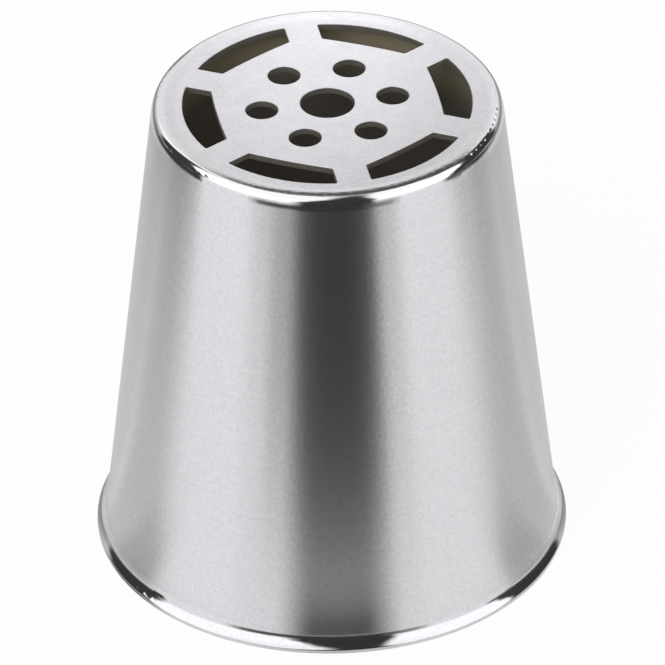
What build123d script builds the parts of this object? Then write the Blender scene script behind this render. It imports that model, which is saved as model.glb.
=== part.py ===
from build123d import *
import os
from math import asin, atan2, cos, degrees, radians, sin, sqrt

# Piping nozzle of sheet steel, in millimetres.
# The origin is the centre of the base, +Z is the axis and points to the patterned end, +X runs through a slot.

# Outline of the tapered shell, measured on its outside
height = 38.0
cone_base_radius = 17.53  # where the straight taper would reach the base plane
cone_top_radius = 13.14  # where the straight taper would reach the plane of the face
wall = 0.45

# Foot lip flared outward at the wide end
lip_overhang = 0.57  # how far the lip stands out past the taper's reach
lip_thickness = 0.4
lip_edge_radius = 0.1
flare_start = 1.4  # height at which the taper begins to turn outward

# Perforated plate in the small end, and the gap round it that the weld fills
plate_thickness = 0.5
plate_gap = 0.12

# Dressed shoulder: three arcs in one smooth line, the first on the plate's rim, the last on the shell's top
rim_ease_radius = 10.0
rim_ease_angle = 3.5  # degrees that the rim turns down from the flat face
shell_ease_radius = 2.2
shell_ease_angle = 15.4  # degrees that the shell's top turns in from the taper

# Openings in the plate: a centre hole, a ring of round holes and a ring of arc slots
pattern_count = 6  # round holes in their ring, and slots in theirs
face_border = 1.73  # metal between the slots and the plate's edge
rib_width = 2.53  # metal between two neighbouring slots
slot_width = 2.51  # across the middle of a slot
slot_bow = 0.12  # how far a slot's inner edge bows out between its corners
slot_corner_radius = 0.15
centre_hole_radius = 2.05
ring_hole_radius = 1.23
ring_place_share = 0.465  # the ring's place on the way from the centre hole's edge to the slots
hole_edge_break = 0.04

# Extra length of a cutter past each face that it cuts
overrun = 1.0

# The taper of the outside and its unit normal, pointing outward and up
taper_slope = (cone_base_radius - cone_top_radius) / height
taper_angle = atan2(cone_base_radius - cone_top_radius, height)
normal_x = cos(taper_angle)
normal_z = sin(taper_angle)
wall_across = wall / cos(taper_angle)  # the wall measured square to the axis

# Elevation of the surface's normal where the weld's round begins on the plate and ends on the shell
weld_start_angle = radians(90 - rim_ease_angle)
weld_end_angle = taper_angle + radians(shell_ease_angle)

# The shell's top edge is dressed thinner than the wall by what its easing takes off
dressed_off = shell_ease_radius * (1 - cos(radians(shell_ease_angle))) / cos(taper_angle)

# The weld's round spans the rest of the wall and the gap, tangent to the easing on either side
weld_span = wall_across - dressed_off + plate_gap
weld_radius = weld_span / (cos(weld_end_angle) - cos(weld_start_angle))
rim_edge = height - rim_ease_radius * (1 - cos(radians(rim_ease_angle)))
shell_top = rim_edge - weld_radius * (sin(weld_start_angle) - sin(weld_end_angle))


def cone_radius(z):
    """Outer radius of the straight taper at height z."""
    return cone_base_radius - taper_slope * z


shell_top_radius = cone_radius(shell_top) - dressed_off
shell_mouth_radius = cone_radius(shell_top) - wall_across
plate_radius = shell_mouth_radius - plate_gap
plate_underside = height - plate_thickness
flat_radius = plate_radius - rim_ease_radius * sin(radians(rim_ease_angle))

lip_radius = cone_base_radius + lip_overhang
slot_outer_radius = plate_radius - face_border
slot_inner_distance = slot_outer_radius - slot_width  # from the axis to the middle of the inner edge
slot_corner_distance = slot_inner_distance - slot_bow  # from the axis to the line through its corners
ring_circle_radius = centre_hole_radius + ring_place_share * (slot_inner_distance - centre_hole_radius)


def solid_of_revolution(outline):
    """Turn a closed outline, drawn in XZ, round the axis."""
    return revolve(make_face(outline), Axis.Z)


def arc_about(centre, radius, start, end):
    """Shorter arc about a centre, from the angle start to the angle end, in degrees, drawn in XZ."""
    points = []
    for angle in (start, (start + end) / 2, end):
        across = radius * cos(radians(angle))
        up = radius * sin(radians(angle))
        points.append((centre[0] + across, 0, centre[1] + up))
    return ThreePointArc(*points)


def cone_shell():
    """Tapered shell, its top eased inward, its foot turned outward in one bend to a short upright edge."""
    bend_start = (cone_radius(flare_start), flare_start)
    edge_x = lip_radius - lip_edge_radius
    upper_corner = (edge_x, lip_thickness - lip_edge_radius)
    lower_corner = (edge_x, lip_edge_radius)

    # The bend is tangent to the taper and to the round of the upper corner, which sets its radius
    across = bend_start[0] - upper_corner[0]
    up = bend_start[1] - upper_corner[1]
    along_normal = across * normal_x + up * normal_z
    bend_radius = (across**2 + up**2 - lip_edge_radius**2) / (2 * (lip_edge_radius - along_normal))
    bend_centre = (bend_start[0] + bend_radius * normal_x, bend_start[1] + bend_radius * normal_z)

    # Directions from the centres to the ends of the arcs, in degrees
    to_taper = 180 + degrees(taper_angle)
    to_edge = 360 + degrees(atan2(upper_corner[1] - bend_centre[1], upper_corner[0] - bend_centre[0]))
    inner_radius = bend_radius + wall
    to_underside = 180 + degrees(asin(bend_centre[1] / inner_radius))

    lower_round = arc_about(lower_corner, lip_edge_radius, -90, 0)
    upper_round = arc_about(upper_corner, lip_edge_radius, 0, to_edge - 180)
    edge = Line(lower_round @ 1, upper_round @ 0)
    outer_bend = arc_about(bend_centre, bend_radius, to_edge, to_taper)
    inner_bend = arc_about(bend_centre, inner_radius, to_taper, to_underside)
    ease_end = degrees(weld_end_angle)
    ease_centre = (
        shell_top_radius - shell_ease_radius * cos(weld_end_angle),
        shell_top - shell_ease_radius * sin(weld_end_angle),
    )
    top_ease = arc_about(ease_centre, shell_ease_radius, degrees(taper_angle), ease_end)
    taper_outside = Line(outer_bend @ 1, top_ease @ 0)
    top_edge = Line(top_ease @ 1, (shell_mouth_radius, 0, shell_top))
    taper_inside = Line(top_edge @ 1, inner_bend @ 0)
    underside = Line(inner_bend @ 1, lower_round @ 0)
    foot = [inner_bend, underside, lower_round, edge, upper_round, outer_bend]
    return solid_of_revolution(foot + [taper_outside, top_ease, top_edge, taper_inside])


def slot_face():
    """One arc slot on +X: sides straight along the ribs, a round outer edge, a slightly bowed inner edge."""
    half_step = radians(180 / pattern_count)
    half_rib = rib_width / 2

    # Along a rib's centre line, how far its side reaches at the outer edge and at the inner corner
    outer_reach = sqrt(slot_outer_radius**2 - half_rib**2)
    inner_reach = (slot_corner_distance - half_rib * sin(half_step)) / cos(half_step)

    outer_x = outer_reach * cos(half_step) + half_rib * sin(half_step)
    outer_y = outer_reach * sin(half_step) - half_rib * cos(half_step)
    inner_y = inner_reach * sin(half_step) - half_rib * cos(half_step)

    inner_edge = ThreePointArc(
        (slot_corner_distance, -inner_y), (slot_inner_distance, 0), (slot_corner_distance, inner_y)
    )
    upper_side = Line(inner_edge @ 1, (outer_x, outer_y))
    outer_edge = ThreePointArc(upper_side @ 1, (slot_outer_radius, 0), (outer_x, -outer_y))
    lower_side = Line(outer_edge @ 1, inner_edge @ 0)
    face = make_face([inner_edge, upper_side, outer_edge, lower_side])
    return fillet(face.vertices(), slot_corner_radius)


def disc():
    """Plate without openings: flat, its rim eased down."""
    rim_ease = arc_about((flat_radius, height - rim_ease_radius), rim_ease_radius, 90, 90 - rim_ease_angle)
    axis_top = (0, 0, height)
    axis_foot = (0, 0, plate_underside)
    side = Line(rim_ease @ 1, (plate_radius, 0, plate_underside))
    underside = Line(side @ 1, axis_foot)
    face = Line(axis_top, rim_ease @ 0)
    return solid_of_revolution([face, rim_ease, side, underside, Line(axis_foot, axis_top)])


def pattern_plate():
    """The disc with its openings, their upper edges broken."""
    openings = [Circle(centre_hole_radius)]
    for i in range(pattern_count):
        turn = Rot(0, 0, i * 360 / pattern_count)
        openings.append(turn * Pos(ring_circle_radius, 0) * Circle(ring_hole_radius))
        openings.append(turn * slot_face())
    plate = disc()
    for opening in openings:
        plate -= Pos(0, 0, plate_underside - overrun) * extrude(opening, plate_thickness + 2 * overrun)
    upper_face = plate.faces().sort_by(Axis.Z)[-1]
    return chamfer(upper_face.inner_wires().edges(), hole_edge_break)


def weld_ring():
    """Corner weld between the plate's edge and the shell's top edge, dressed to a round shoulder."""
    centre = (
        plate_radius - weld_radius * cos(weld_start_angle),
        rim_edge - weld_radius * sin(weld_start_angle),
    )
    shoulder = arc_about(centre, weld_radius, degrees(weld_start_angle), degrees(weld_end_angle))
    on_shell = Line(shoulder @ 1, (shell_mouth_radius, 0, shell_top))
    root = Line(on_shell @ 1, (plate_radius, 0, plate_underside))
    on_plate = Line(root @ 1, shoulder @ 0)
    return solid_of_revolution([shoulder, on_shell, root, on_plate])


os.makedirs("parts", exist_ok=True)
export_step(cone_shell(), "parts/cone_shell.step")
export_step(pattern_plate(), "parts/pattern_plate.step")
export_step(weld_ring(), "parts/weld_ring.step")
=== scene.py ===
"""Looks of the piping nozzle: steel finishes, floor, studio light and camera, in metres."""

from math import asin, atan2, cos, degrees, hypot, pi, radians, sin

import bpy
from mathutils import Matrix, Vector

# Azimuth of the viewer, turned from the model's -Y; the studio is laid out about it
VIEW_TURN = radians(-10.38)

# Heights between which the brushed taper gives way to the polished foot and shoulder, in metres
FOOT_POLISH_FADE = (0.00110, 0.00150)
SHOULDER_POLISH_FADE = (0.03725, 0.03695)

# Radii between which the satin face gives way to its polished rim, in metres
RIM_POLISH_FADE = (0.01120, 0.01190)

# Outside this radius the lip's surface belongs to the outside of the shell, in metres
LIP_INNER_RADIUS = 0.01762

# Middle of the studio, about which the reflectors stand, and the radius of their dome, in metres
STUDIO_CENTRE = Vector((0, 0, 0.020))
DOME_RADIUS = 0.5


def toward(azimuth, elevation):
    """Unit vector for an azimuth, positive to the viewer's right, and an elevation, both in degrees."""
    a = radians(azimuth)
    e = radians(elevation)
    vector = Vector((sin(a) * cos(e), -cos(a) * cos(e), sin(e)))
    return Matrix.Rotation(VIEW_TURN, 3, "Z") @ vector


# Node helpers


class Shader:
    """A node tree, with short calls for the nodes that these materials use."""

    def __init__(self, tree):
        self.tree = tree
        tree.nodes.clear()

    def node(self, kind, inputs=None, **settings):
        node = self.tree.nodes.new(kind)
        for name, value in settings.items():
            setattr(node, name, value)
        for name, value in (inputs or {}).items():
            socket = node.inputs[name]
            if isinstance(value, bpy.types.NodeSocket):
                self.tree.links.new(value, socket)
            else:
                socket.default_value = value
        return node

    def math(self, operation, first, second=0.0, clamp=False):
        node = self.node("ShaderNodeMath", {0: first, 1: second}, operation=operation, use_clamp=clamp)
        return node.outputs[0]

    def spread(self, value, low, high):
        """Map 0..1 to low..high."""
        node = self.node("ShaderNodeMapRange", {"Value": value, "To Min": low, "To Max": high})
        return node.outputs["Result"]

    def object_place(self, scale=(1, 1, 1)):
        place = self.node("ShaderNodeTexCoord").outputs["Object"]
        return self.node("ShaderNodeMapping", {"Vector": place, "Scale": scale}).outputs["Vector"]

    def noise(self, scale, detail=2.0, roughness=0.5):
        """Noise whose grain is 1 / scale metres along each axis."""
        place = self.object_place(scale)
        node = self.node(
            "ShaderNodeTexNoise", {"Vector": place, "Scale": 1.0, "Detail": detail, "Roughness": roughness}
        )
        return node.outputs["Fac"]

    def height(self):
        """Height above the base, in metres."""
        place = self.node("ShaderNodeTexCoord").outputs["Object"]
        return self.node("ShaderNodeSeparateXYZ", {0: place}).outputs["Z"]

    def radius(self):
        """Distance from the axis, in metres."""
        place = self.node("ShaderNodeTexCoord").outputs["Object"]
        flat = self.node("ShaderNodeVectorMath", {0: place, 1: (1, 1, 0)}, operation="MULTIPLY").outputs[0]
        return self.node("ShaderNodeVectorMath", {0: flat}, operation="LENGTH").outputs["Value"]

    def rise(self, value, low, high):
        """Smooth rise from 0 at low to 1 at high."""
        ends = {"Value": value, "From Min": low, "From Max": high}
        node = self.node("ShaderNodeMapRange", ends, interpolation_type="SMOOTHSTEP")
        return node.outputs["Result"]


def colour_mix(shader, value, dark, light):
    """Colour between two ends, by a value from 0 to 1."""
    ramp = shader.node("ShaderNodeValToRGB", {"Fac": value})
    ramp.color_ramp.elements[0].color = (*dark, 1)
    ramp.color_ramp.elements[1].color = (*light, 1)
    return ramp.outputs["Color"]


def new_material(name):
    material = bpy.data.materials.new(name)
    material.use_nodes = True
    return material, Shader(material.node_tree)


# Steel finishes


def shell_outside():
    """Steel brushed round the axis, so reflections blur along the taper; polished at foot and shoulder."""
    material, s = new_material("shell_outside")
    speckle = s.noise((3600, 3600, 3600), detail=2.0, roughness=0.6)
    grain = s.noise((200, 200, 7000), detail=2.0, roughness=0.6)
    drift = s.noise((70, 70, 160), detail=2.0)
    mixed = s.math("ADD", s.math("MULTIPLY", speckle, 0.75), s.math("MULTIPLY", grain, 0.25))
    colour = colour_mix(s, mixed, (0.60, 0.60, 0.615), (0.82, 0.82, 0.83))
    height = s.height()
    brushed = s.math("MULTIPLY", s.rise(height, *FOOT_POLISH_FADE), s.rise(height, *SHOULDER_POLISH_FADE))
    satin = s.spread(drift, 0.255, 0.275)
    roughness = s.math("ADD", 0.09, s.math("MULTIPLY", brushed, s.math("SUBTRACT", satin, 0.09)))
    strength = s.math("MULTIPLY", brushed, 0.7)
    bump = s.node("ShaderNodeBump", {"Height": mixed, "Distance": 0.000009, "Strength": strength})
    tangent = s.node("ShaderNodeTangent", direction_type="RADIAL", axis="Z")
    steel = s.node(
        "ShaderNodeBsdfPrincipled",
        {
            "Base Color": colour,
            "Metallic": 1.0,
            "Roughness": roughness,
            "Anisotropic": 0.93,
            "Anisotropic Rotation": 0.25,
            "Tangent": tangent.outputs["Tangent"],
            "Normal": bump.outputs["Normal"],
        },
    )
    s.node("ShaderNodeOutputMaterial", {"Surface": steel.outputs["BSDF"]})
    return material


def polished_steel(name, light, roughness):
    """Bright buffed steel with faint unevenness."""
    material, s = new_material(name)
    patch = s.noise((300, 300, 300), detail=2.0)
    wave = s.noise((120, 120, 900), detail=1.0)
    dark = tuple(0.94 * c for c in light)
    colour = colour_mix(s, patch, dark, light)
    bump = s.node("ShaderNodeBump", {"Height": wave, "Distance": 0.000003, "Strength": 0.3})
    steel = s.node(
        "ShaderNodeBsdfPrincipled",
        {
            "Base Color": colour,
            "Metallic": 1.0,
            "Roughness": s.spread(patch, roughness * 0.8, roughness * 1.2),
            "Normal": bump.outputs["Normal"],
        },
    )
    s.node("ShaderNodeOutputMaterial", {"Surface": steel.outputs["BSDF"]})
    return material


def satin_face():
    """Matt satin steel of the flat face, finely speckled, polished towards its rim."""
    material, s = new_material("satin_face")
    speckle = s.noise((4200, 4200, 4200), detail=2.0, roughness=0.6)
    patch = s.noise((700, 700, 700), detail=2.0)
    mixed = s.math("ADD", s.math("MULTIPLY", speckle, 0.6), s.math("MULTIPLY", patch, 0.4))
    colour = colour_mix(s, mixed, (0.66, 0.65, 0.67), (0.94, 0.93, 0.95))
    polish = s.rise(s.radius(), *RIM_POLISH_FADE)
    satin = s.spread(speckle, 0.19, 0.23)
    roughness = s.math("SUBTRACT", satin, s.math("MULTIPLY", polish, 0.14))
    bump = s.node("ShaderNodeBump", {"Height": speckle, "Distance": 0.000005, "Strength": 0.6})
    steel = s.node(
        "ShaderNodeBsdfPrincipled",
        {
            "Base Color": colour,
            "Metallic": 1.0,
            "Roughness": roughness,
            "Normal": bump.outputs["Normal"],
        },
    )
    s.node("ShaderNodeOutputMaterial", {"Surface": steel.outputs["BSDF"]})
    return material


def dull_break():
    """Broken edges of the openings, matt."""
    material, s = new_material("dull_break")
    speckle = s.noise((4200, 4200, 4200), detail=2.0)
    colour = colour_mix(s, speckle, (0.70, 0.69, 0.71), (0.82, 0.81, 0.83))
    steel = s.node(
        "ShaderNodeBsdfPrincipled",
        {"Base Color": colour, "Metallic": 1.0, "Roughness": s.spread(speckle, 0.52, 0.62)},
    )
    s.node("ShaderNodeOutputMaterial", {"Surface": steel.outputs["BSDF"]})
    return material


def dull_inside():
    """Drawn steel inside the nozzle, dull and brownish, with painted shade that darkens it deep down and
    painted light that makes it pale and yellow just under the plate.
    """
    material, s = new_material("dull_inside")
    streak = s.noise((200, 200, 2500), detail=3.0, roughness=0.6)
    stain = s.noise((260, 260, 200), detail=3.0)
    # Painted shade: dark colour for the inside deep down
    shaded_deep_colour = colour_mix(s, stain, (0.34, 0.315, 0.28), (0.42, 0.39, 0.35))
    # Painted light: pale yellow colour for the inside just under the plate
    lit_upper_colour = colour_mix(s, stain, (0.84, 0.74, 0.53), (0.98, 0.88, 0.65))
    mix = s.node("ShaderNodeMix", data_type="RGBA")
    # Painted shade below, painted light above: the colour turns from dark to pale between these heights, in
    # metres
    s.tree.links.new(s.rise(s.height(), 0.0312, 0.0357), mix.inputs[0])
    s.tree.links.new(shaded_deep_colour, mix.inputs[6])
    s.tree.links.new(lit_upper_colour, mix.inputs[7])
    bump = s.node("ShaderNodeBump", {"Height": streak, "Distance": 0.000008, "Strength": 0.5})
    steel = s.node(
        "ShaderNodeBsdfPrincipled",
        {
            "Base Color": mix.outputs[2],
            "Metallic": 0.5,
            "Roughness": s.spread(streak, 0.45, 0.58),
            "Normal": bump.outputs["Normal"],
        },
    )
    s.node("ShaderNodeOutputMaterial", {"Surface": steel.outputs["BSDF"]})
    return material


def cut_wall():
    """Sheared walls of the openings, grey and half matt, streaked along the cut."""
    material, s = new_material("cut_wall")
    streak = s.noise((2500, 2500, 300), detail=2.0, roughness=0.6)
    colour = colour_mix(s, streak, (0.24, 0.22, 0.19), (0.34, 0.32, 0.28))
    bump = s.node("ShaderNodeBump", {"Height": streak, "Distance": 0.000008, "Strength": 0.5})
    steel = s.node(
        "ShaderNodeBsdfPrincipled",
        {
            "Base Color": colour,
            "Metallic": 0.7,
            "Roughness": s.spread(streak, 0.40, 0.50),
            "Normal": bump.outputs["Normal"],
        },
    )
    s.node("ShaderNodeOutputMaterial", {"Surface": steel.outputs["BSDF"]})
    return material


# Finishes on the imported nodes


def set_finishes(node, materials, choose):
    """Give each face of a node the material that choose() picks by the face's centre and normal."""
    mesh = node.data
    mesh.materials.clear()
    for material in materials:
        mesh.materials.append(material)
    for face in mesh.polygons:
        face.material_index = choose(face.center, face.normal)


def shell_zone(centre, normal):
    """0 outside, brushed and polished; 1 dull inside."""
    outward = normal.x * centre.x + normal.y * centre.y
    if outward < 0 and (centre.z > 0.0015 or hypot(centre.x, centre.y) < LIP_INNER_RADIUS):
        return 1
    return 0


def plate_zone(centre, normal):
    """0 satin face and rim, 1 edge breaks, 2 cut walls of the openings, 3 dull underside."""
    if normal.z > 0.9:
        return 0
    if normal.z < -0.9:
        return 3
    if normal.z > 0.3:
        return 1
    return 2


# Studio

# Radius within which the floor lies under the nozzle, in metres
FOOTPRINT_RADIUS = 0.0176


def floor_material():
    """Pale floor, nearly white where seen or mirrored; plain under the nozzle, so the inside stays dark."""
    material, s = new_material("pale_floor")
    path = s.node("ShaderNodeLightPath").outputs
    seen = s.math("MAXIMUM", path["Is Camera Ray"], path["Is Glossy Ray"])
    seen = s.math("MAXIMUM", seen, path["Is Transmission Ray"])
    outside = s.math("GREATER_THAN", s.radius(), FOOTPRINT_RADIUS)
    share = s.math("MULTIPLY", s.math("MULTIPLY", seen, outside), 0.94)
    grain = s.noise((400, 400, 400), detail=2.0)
    colour = colour_mix(s, grain, (0.81, 0.81, 0.81), (0.83, 0.83, 0.83))
    paper = s.node("ShaderNodeBsdfDiffuse", {"Color": colour})
    glow = s.node("ShaderNodeEmission", {"Color": (1, 1, 1, 1), "Strength": 1.0})
    mix = s.node("ShaderNodeMixShader", {0: share, 1: paper.outputs["BSDF"], 2: glow.outputs["Emission"]})
    s.node("ShaderNodeOutputMaterial", {"Surface": mix.outputs["Shader"]})
    return material


def add_floor():
    half = 2.0
    corners = [(-half, -half, 0), (half, -half, 0), (half, half, 0), (-half, half, 0)]
    mesh = bpy.data.meshes.new("floor")
    mesh.from_pydata(corners, [], [(0, 1, 2, 3)])
    mesh.materials.append(floor_material())
    floor = bpy.data.objects.new("floor", mesh)
    bpy.context.scene.collection.objects.link(floor)


def step(value, low, high):
    """Smooth rise from 0 at low to 1 at high."""
    share = min(1.0, max(0.0, (value - low) / (high - low)))
    return share * share * (3 - 2 * share)


def band(value, low, high, soft):
    """1 between low and high, with soft edges of the given width centred on them."""
    half = soft / 2
    return step(value, low - half, low + half) * (1 - step(value, high - half, high + half))


def blend(first, second, share):
    return first + (second - first) * share


def along(rows, value):
    """Value between the rows (position, result), which lie in order of position."""
    if value <= rows[0][0]:
        return rows[0][1]
    for (low, first), (high, second) in zip(rows, rows[1:]):
        if value <= high:
            return blend(first, second, (value - low) / (high - low))
    return rows[-1][1]


def glow_material():
    """Shines with the brightness that is stored on the mesh."""
    material, s = new_material("reflector_glow")
    stored = s.node("ShaderNodeAttribute", attribute_name="glow").outputs["Fac"]
    tint = colour_mix(s, stored, (1.0, 0.94, 0.91), (0.985, 0.985, 1.005))
    glow = s.node("ShaderNodeEmission", {"Color": tint, "Strength": stored})
    s.node("ShaderNodeOutputMaterial", {"Surface": glow.outputs["Emission"]})
    return material


def add_reflector(name, points, columns, material):
    """Grid of (place, brightness) points, row after row, that only mirror-like reflections see."""
    faces = []
    for corner in range(len(points) - columns - 1):
        if (corner + 1) % columns:
            faces.append((corner, corner + 1, corner + columns + 1, corner + columns))
    mesh = bpy.data.meshes.new(name)
    mesh.from_pydata([tuple(place) for place, glow in points], [], faces)
    stored = mesh.attributes.new("glow", "FLOAT", "POINT")
    stored.data.foreach_set("value", [glow for place, glow in points])
    mesh.materials.append(material)
    card = bpy.data.objects.new(name, mesh)
    bpy.context.scene.collection.objects.link(card)
    card.visible_camera = False
    card.visible_diffuse = False
    card.visible_shadow = False
    card.visible_transmission = False
    card.visible_volume_scatter = False


# Edges of the dark gap between the softboxes: place across the view against pitch over the top, in degrees
GAP_LEFT = ((0, -19), (29, -18.5), (42, -11.5), (59, -6.5), (72, -0.8), (85, 0.3), (99, 1.8), (128, 0.8))
GAP_RIGHT = (
    (0, 26), (30, 27), (45, 23), (60, 18.5), (75, 14.3), (85, 11.7), (99, 8.7), (110, 6.3), (128, 3.4),
)

# Width over which each edge of the gap fades, against pitch, in degrees
GAP_LEFT_SOFTNESS = ((15, 12), (42, 7), (60, 8), (90, 5))
GAP_RIGHT_SOFTNESS = ((15, 5), (45, 6), (60, 5), (90, 3.5))

# Edges of the black flags at the sides: azimuth from the viewer against elevation, in degrees
LEFT_FLAG_NEAR = (
    (-4, 82), (8, 84), (20, 85), (28, 90.5), (36, 100), (41, 107), (48, 118), (52, 130), (56, 142),
)
LEFT_FLAG_FAR = (
    (-4, 124), (10, 125.5), (18, 128.5), (23, 128.5), (34, 133), (43, 140), (49, 157), (54, 163),
)
RIGHT_FLAG_NEAR = (
    (-4, 76), (7, 77.5), (20, 82), (30, 89.5), (36, 98), (41, 106), (45, 112), (51, 128), (56, 142),
)
RIGHT_FLAG_FAR = (
    (-4, 124), (8, 126), (14, 130), (22, 132.5), (28, 134.5), (34, 141), (40, 150), (46, 157), (53, 163),
)
LEFT_FLAG_TOP = 54
RIGHT_FLAG_TOP = 53

# Brightness of the softboxes in front, of the ceiling, of the flags and of the gap
SOFTBOX_TONE = 1.4
CEILING_TONE = 1.25
FLAG_TONE = 0.05
GAP_TONE = 0.045

# Brightness of the wall behind, against elevation in degrees
BEHIND = ((5, 0.36), (12, 0.45), (20, 0.72), (29, 0.98), (37, 1.30))


def flag_share(azimuth, elevation):
    """1 within a black flag, 0 outside; the flags thin out towards the floor."""
    left = azimuth < 0
    near = along(LEFT_FLAG_NEAR if left else RIGHT_FLAG_NEAR, elevation)
    far = along(LEFT_FLAG_FAR if left else RIGHT_FLAG_FAR, elevation)
    top = LEFT_FLAG_TOP if left else RIGHT_FLAG_TOP
    inside = band(abs(azimuth), near, far, 5) * (1 - step(elevation, top - 2.5, top + 2.5))
    return inside * step(elevation, -6, 7)


def dome_glow(azimuth, elevation):
    """Brightness of the studio's walls and ceiling: softboxes, their gap, flags and the wall behind."""
    a = radians(azimuth)
    e = radians(elevation)
    pitch = degrees(atan2(sin(e), cos(e) * cos(a)))
    across = degrees(asin(cos(e) * sin(a)))
    glow = blend(SOFTBOX_TONE, along(BEHIND, elevation), step(abs(azimuth), 100, 135))
    glow = blend(glow, CEILING_TONE, step(elevation, 54, 66))
    glow = blend(glow, FLAG_TONE, flag_share(azimuth, elevation))
    left = along(GAP_LEFT, pitch)
    right = along(GAP_RIGHT, pitch)
    left_soft = along(GAP_LEFT_SOFTNESS, pitch) / 2
    right_soft = along(GAP_RIGHT_SOFTNESS, pitch) / 2
    past_left = step(across, left - left_soft, left + left_soft)
    past_right = step(across, right - right_soft, right + right_soft)
    return blend(glow, GAP_TONE, past_left * (1 - past_right) * (1 - step(pitch, 126, 130)))


def add_dome(material):
    columns = 361
    points = []
    for row in range(95):
        elevation = -4 + row
        for column in range(columns):
            azimuth = -180 + column
            place = STUDIO_CENTRE + DOME_RADIUS * toward(azimuth, elevation)
            points.append((place, dome_glow(azimuth, elevation)))
    add_reflector("studio_dome", points, columns, material)


# Low wall in front: its distance from the axis, and the heights between which the softboxes begin over it
WALL_REACH = 0.128
WALL_TOP_FADE = (0.029, 0.050)

# Brightness of the low wall against azimuth from the viewer, in degrees
WALL_TONE = (
    (-81, 0.04), (-78, 1.0), (-48, 1.0), (-40, 0.16), (-33, 0.08), (-9, 0.05),
    (20, 0.05), (28, 0.20), (37, 0.38), (44, 1.0),
)

# Azimuth at which the wall turns dark on the right, against height in metres
WALL_END_RIGHT = ((0.004, 84), (0.010, 79), (0.020, 72), (0.032, 72), (0.042, 77))

# Past that azimuth the wall fades from pale at the floor to dark, between these heights
WALL_PAST_LOW = 0.30
WALL_PAST_HIGH = 0.05
WALL_PAST_FADE = (0.004, 0.030)


def wall_glow(azimuth, height):
    """Brightness of the low wall: dark in the middle and at its ends, pale under the softboxes."""
    end = along(WALL_END_RIGHT, height)
    past = blend(WALL_PAST_LOW, WALL_PAST_HIGH, step(height, *WALL_PAST_FADE))
    tone = blend(along(WALL_TONE, azimuth), past, step(azimuth, end - 3, end + 3))
    return blend(tone, dome_glow(azimuth, 10), step(height, *WALL_TOP_FADE))


def add_low_wall(material):
    columns = 173
    points = []
    for row in range(26):
        height = row * 0.002
        for column in range(columns):
            azimuth = -86 + column
            place = WALL_REACH * toward(azimuth, 0) + Vector((0, 0, height))
            points.append((place, wall_glow(azimuth, height)))
    add_reflector("studio_wall", points, columns, material)


# Brightness of the floor in the gap's direction, against the distance in front of the axis, in metres
GAP_ON_FLOOR = (
    (0.0229, 0.03), (0.0250, 0.38), (0.0270, 0.66), (0.030, 0.56),
    (0.034, 0.31), (0.042, 0.07), (0.055, 0.03),
)

# Brightness of the floor right at the foot lip, against azimuth from the viewer, in degrees
CONTACT = (
    (-90, 0.72), (-80, 0.70), (-70, 0.50), (-65, 0.28), (-55, 0.28), (-48, 0.62), (-42, 0.85), (-22, 0.88),
    (-13, 0.74), (0, 0.68), (12, 0.72), (20, 0.84), (45, 0.82), (60, 0.66), (70, 0.88), (90, 0.88),
)

# Azimuth at which the floor turns greyer at the side, against the distance from the axis, in metres
GREY_FROM_LEFT = ((0.019, 83), (0.025, 86), (0.033, 90), (0.050, 93), (0.090, 98))
GREY_FROM_RIGHT = ((0.019, 81), (0.025, 83), (0.033, 87), (0.050, 91), (0.090, 97))

# Distance from the axis at which the pale floor ends, against azimuth from the viewer, in metres
FLOOR_END_LEFT = (
    (45, 0.130), (76, 0.130), (80, 0.150), (86, 0.135), (92, 0.108), (103, 0.100), (140, 0.096), (155, 0.110),
)
FLOOR_END_RIGHT = (
    (45, 0.130), (74, 0.130), (78, 0.190), (96, 0.155), (104, 0.128), (125, 0.128), (150, 0.140),
)

# How far in front of the axis the point lies from which the floor's bands fan out, in metres
FAN_FRONT = 0.0085

# Brightness of the floor at the left and the right, greyer at the sides, behind, and at the lip behind
FLOOR_LEFT = 1.0
FLOOR_RIGHT = 0.95
FLOOR_SIDE_LEFT = 0.71
FLOOR_SIDE_RIGHT = 0.68
FLOOR_BEHIND = 0.76
FLOOR_LIP_BEHIND = 0.60

# Brightness past the end of the pale floor, at the side and behind, and in the half-tones beside the far gap
FLOOR_PAST_SIDE = 0.04
FLOOR_PAST_BEHIND = 0.32
FLOOR_FAR_LEFT = 0.50
FLOOR_FAR_RIGHT = 0.75

# Share of its brightness that the floor loses beside the foot, where the flags shade it
FLAG_SHADE = 0.25


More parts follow.
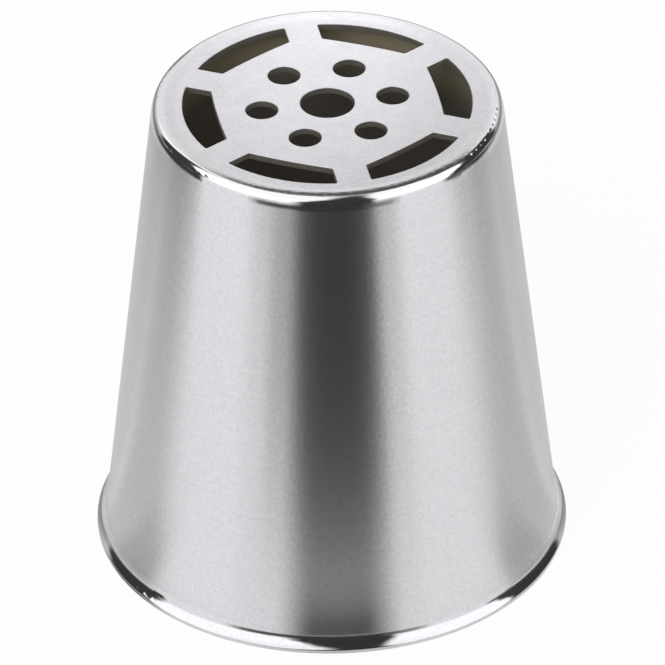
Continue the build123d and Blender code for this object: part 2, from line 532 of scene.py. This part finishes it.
def floor_glow(right, front):
    """Brightness of the floor as mirrored: dark in the gap and past its far edge, greyer at the sides."""
    azimuth = degrees(atan2(right, front))
    side = degrees(atan2(right, front - FAN_FRONT))
    reach = hypot(right, front)
    left = side < 0
    behind = step(abs(side), 112, 128)
    glow = FLOOR_LEFT if left else FLOOR_RIGHT
    grey_from = along(GREY_FROM_LEFT if left else GREY_FROM_RIGHT, reach)
    grey = FLOOR_SIDE_LEFT if left else FLOOR_SIDE_RIGHT
    glow = blend(glow, grey, band(abs(side), grey_from, 118, 8))
    glow = blend(glow, FLOOR_BEHIND, behind)
    contact = 1 - step(reach, 0.0190, 0.0215)
    glow = blend(glow, FLOOR_LIP_BEHIND, contact * step(abs(azimuth), 90, 106))
    end = along(FLOOR_END_LEFT if left else FLOOR_END_RIGHT, abs(side))
    past = step(reach, 0.74 * end, 1.34 * end)
    past = blend(past, step(reach, 0.92 * end, 1.08 * end), 1 - step(abs(side), 76, 96))
    pale = band(side, -79, -42, 6) + band(side, 40, 84, 6)
    past_tone = blend(FLOOR_PAST_SIDE, FLOOR_PAST_BEHIND, step(abs(side), 124, 145))
    glow = blend(glow, past_tone, past * (1 - pale))
    glow *= 1 - FLAG_SHADE * band(abs(azimuth), 60, 78, 10) * (1 - step(reach, 0.024, 0.030))
    far = step(front, 0.028, 0.060)
    glow = blend(glow, FLOOR_FAR_LEFT, far * band(side, -36, -19, 8))
    glow = blend(glow, FLOOR_FAR_RIGHT, far * band(side, 29, 43, 8))
    gap = band(side, blend(-20, -22, far), blend(26, 30.5, far), blend(22, 9, far))
    glow = blend(glow, min(glow, along(GAP_ON_FLOOR, front)), gap)
    return blend(along(CONTACT, azimuth), glow, step(reach, 0.0184, 0.0188))


def add_floor_reflection(material):
    columns = 361
    rings = [0.01811, 0.0184]
    reach = 0.0188
    while reach < 0.6:
        rings.append(reach)
        reach *= 1.04
    points = []
    for reach in rings:
        height = min(0.0003, 0.00002 + 0.5 * (reach - rings[0]))
        for column in range(columns):
            azimuth = -180 + column
            flat = toward(azimuth, 0) * reach
            right = reach * sin(radians(azimuth))
            front = reach * cos(radians(azimuth))
            points.append((flat + Vector((0, 0, height)), floor_glow(right, front)))
    add_reflector("studio_floor", points, columns, material)


# Screen behind, mirrored by the flat face and its rim: its distance, and its brightness against height
SCREEN_REACH = 0.080
SCREEN_MIDDLE = (
    (0.074, 1.18), (0.082, 1.24), (0.0855, 1.16), (0.090, 1.07), (0.0955, 0.93), (0.100, 0.87), (0.106, 0.86),
)
SCREEN_SIDES = ((0.078, 1.00), (0.086, 0.88), (0.092, 0.79), (0.106, 0.77))

# Lower and upper edge of the dark bar across the screen, against the place across the view, in metres
BAR_LOWER = (
    (-0.012, 0.1050), (0.000, 0.1038), (0.009, 0.1023), (0.015, 0.1018), (0.018, 0.1035), (0.030, 0.1100),
)
BAR_UPPER = (
    (-0.012, 0.1125), (0.000, 0.1160), (0.005, 0.1200), (0.015, 0.1240), (0.022, 0.1340), (0.030, 0.1500),
)

# Brightness of the bar, and of the screen near its side edges and towards its top
BAR_TONE = 0.09
SCREEN_EDGE_TONE = 0.93
SCREEN_TOP_TONE = 1.25


def screen_glow(across, height):
    """Brightness of the screen behind: paler low in the middle, with a dark bar that rings the face."""
    side = abs(across)
    glow = blend(along(SCREEN_MIDDLE, height), along(SCREEN_SIDES, height), step(side, 0.002, 0.0125))
    glow = blend(glow, SCREEN_EDGE_TONE, step(side, 0.0145, 0.019))
    glow = blend(glow, SCREEN_TOP_TONE, step(height, 0.112, 0.122))
    bar = band(height, along(BAR_LOWER, across), along(BAR_UPPER, across), 0.002)
    return blend(glow, BAR_TONE, bar * step(across, -0.020, -0.008))


def add_screen(material):
    columns = 73
    points = []
    for row in range(101):
        height = 0.050 + row * 0.001
        for column in range(columns):
            across = -0.045 + column * 0.00125
            place = toward(90, 0) * across + toward(180, 0) * SCREEN_REACH + Vector((0, 0, height))
            points.append((place, screen_glow(across, height)))
    add_reflector("studio_screen", points, columns, material)


def add_reflectors():
    material = glow_material()
    add_dome(material)
    add_low_wall(material)
    add_floor_reflection(material)
    add_screen(material)


def add_world():
    """White where seen or mirrored, plain light otherwise."""
    world = bpy.data.worlds.new("studio")
    bpy.context.scene.world = world
    world.use_nodes = True
    s = Shader(world.node_tree)
    path = s.node("ShaderNodeLightPath").outputs
    seen = s.math("MAXIMUM", path["Is Camera Ray"], path["Is Glossy Ray"])
    seen = s.math("MAXIMUM", seen, path["Is Transmission Ray"])
    strength = s.spread(seen, 0.62, 1.0)
    back = s.node("ShaderNodeBackground", {"Color": (1, 1, 1, 1), "Strength": strength})
    s.node("ShaderNodeOutputWorld", {"Surface": back.outputs["Background"]})


def add_lamp():
    """One large soft lamp above and to the viewer's left."""
    light = bpy.data.lights.new("key", "AREA")
    light.shape = "DISK"
    light.size = 0.7
    place = STUDIO_CENTRE + 1.0 * toward(-25, 44)
    irradiance = 0.42
    light.energy = irradiance * pi * 4.0
    lamp = bpy.data.objects.new("key", light)
    lamp.location = place
    lamp.rotation_euler = (place - STUDIO_CENTRE).to_track_quat("Z", "Y").to_euler()
    lamp.visible_glossy = False
    bpy.context.scene.collection.objects.link(lamp)


def add_camera():
    """Long lens, 0.69 m from the middle of the base, looking down at 34.7 degrees."""
    data = bpy.data.cameras.new("view")
    data.sensor_fit = "HORIZONTAL"
    data.sensor_width = 36
    data.lens = 486.24
    data.clip_start = 0.05
    data.clip_end = 10
    camera = bpy.data.objects.new("view", data)
    turn = Matrix.Rotation(VIEW_TURN, 3, "Z")
    camera.location = turn @ Vector((0, -0.5626, 0.4067))
    yaw = Matrix.Rotation(-0.00036, 3, "Z")
    pitch = Matrix.Rotation(pi / 2 - 0.60572, 3, "X")
    roll = Matrix.Rotation(-0.01081, 3, "Z")
    camera.rotation_euler = (turn @ yaw @ pitch @ roll).to_euler()
    bpy.context.scene.collection.objects.link(camera)
    bpy.context.scene.camera = camera


def dress_nozzle(nodes):
    outside = shell_outside()
    inside = dull_inside()
    weld = polished_steel("polished_weld", (0.80, 0.80, 0.81), 0.08)
    face = satin_face()
    breaks = dull_break()
    walls = cut_wall()
    set_finishes(nodes["cone_shell"], [outside, inside], shell_zone)
    set_finishes(nodes["pattern_plate"], [face, breaks, walls, inside], plate_zone)
    set_finishes(nodes["weld_ring"], [weld], lambda centre, normal: 0)


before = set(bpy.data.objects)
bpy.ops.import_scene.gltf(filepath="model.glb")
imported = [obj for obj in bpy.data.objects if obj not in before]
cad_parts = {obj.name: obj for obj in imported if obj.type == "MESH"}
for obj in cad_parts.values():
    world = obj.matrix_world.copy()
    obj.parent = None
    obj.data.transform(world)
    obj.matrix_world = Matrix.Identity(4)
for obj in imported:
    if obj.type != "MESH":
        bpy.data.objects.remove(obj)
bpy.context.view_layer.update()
bpy.context.scene.view_settings.view_transform = "Standard"
dress_nozzle(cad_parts)
add_floor()
add_reflectors()
add_world()
add_lamp()
add_camera()
